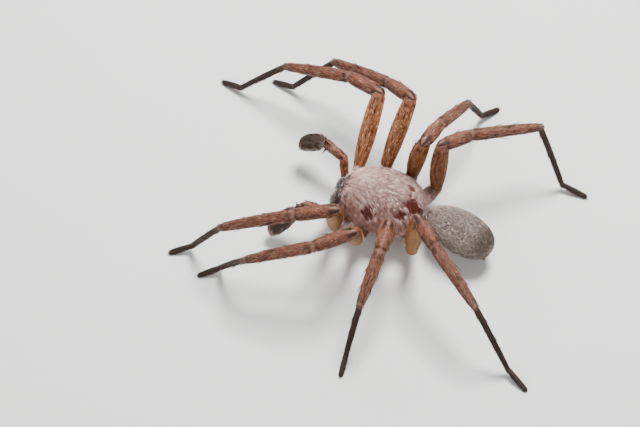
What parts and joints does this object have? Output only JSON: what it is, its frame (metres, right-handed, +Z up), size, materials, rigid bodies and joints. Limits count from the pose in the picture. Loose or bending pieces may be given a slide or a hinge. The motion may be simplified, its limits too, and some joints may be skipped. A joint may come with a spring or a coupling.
{
  "type": "huntsman spider",
  "caption": "Adult male huntsman spider standing on all its feet, hairy body, long spiny legs drawn up at the knees, palps held forward",
  "frame": {"origin": "on the floor under the middle of the bounding box", "axes": "+Z up, head toward -Y, the spider's left side toward +X"},
  "size_m": [0.0338, 0.0384, 0.0101],
  "materials": {
    "carapace_coat": "short dense pinkish-grey coat with bare dark red patches",
    "underside_coat": "reddish-brown shell with thin pale hair",
    "abdomen_coat": "dense soft grey coat",
    "eye": "glossy black",
    "face_shell": "dark maroon, glossy",
    "palp_shell": "dark brown, hairy",
    "leg_coat": "reddish-brown shell under short pinkish hair",
    "foot_coat": "dark brown, dense short hair"
  },
  "bodies": {
    "root": {"carapace": "carapace_coat", "prosoma_underside": "underside_coat", "abdomen": "abdomen_coat", "spinnerets": "abdomen_coat", "eye_anterior_median_left": "eye", "eye_anterior_lateral_left": "eye", "eye_posterior_median_left": "eye", "eye_posterior_lateral_left": "eye", "chelicera_left": "face_shell", "fang_left": "face_shell", "palp_left_limb": "palp_shell", "palp_left_cymbium": "palp_shell", "palp_left_bulb": "face_shell", "leg_left_1_femur": "leg_coat", "leg_left_1_patella_tibia": "leg_coat", "leg_left_1_metatarsus": "foot_coat", "leg_left_1_tarsus": "foot_coat", "leg_left_2_femur": "leg_coat", "leg_left_2_patella_tibia": "leg_coat", "leg_left_2_metatarsus": "foot_coat", "leg_left_2_tarsus": "foot_coat", "leg_left_3_femur": "leg_coat", "leg_left_3_patella_tibia": "leg_coat", "leg_left_3_metatarsus": "foot_coat", "leg_left_3_tarsus": "foot_coat", "leg_left_4_femur": "leg_coat", "leg_left_4_patella_tibia": "leg_coat", "leg_left_4_metatarsus": "foot_coat", "leg_left_4_tarsus": "foot_coat", "eye_anterior_median_right": "eye", "eye_anterior_lateral_right": "eye", "eye_posterior_median_right": "eye", "eye_posterior_lateral_right": "eye", "chelicera_right": "face_shell", "fang_right": "face_shell", "palp_right_limb": "palp_shell", "palp_right_cymbium": "palp_shell", "palp_right_bulb": "face_shell", "leg_right_1_femur": "leg_coat", "leg_right_1_patella_tibia": "leg_coat", "leg_right_1_metatarsus": "foot_coat", "leg_right_1_tarsus": "foot_coat", "leg_right_2_femur": "leg_coat", "leg_right_2_patella_tibia": "leg_coat", "leg_right_2_metatarsus": "foot_coat", "leg_right_2_tarsus": "foot_coat", "leg_right_3_femur": "leg_coat", "leg_right_3_patella_tibia": "leg_coat", "leg_right_3_metatarsus": "foot_coat", "leg_right_3_tarsus": "foot_coat", "leg_right_4_femur": "leg_coat", "leg_right_4_patella_tibia": "leg_coat", "leg_right_4_metatarsus": "foot_coat", "leg_right_4_tarsus": "foot_coat"}
  },
  "joints": []
}
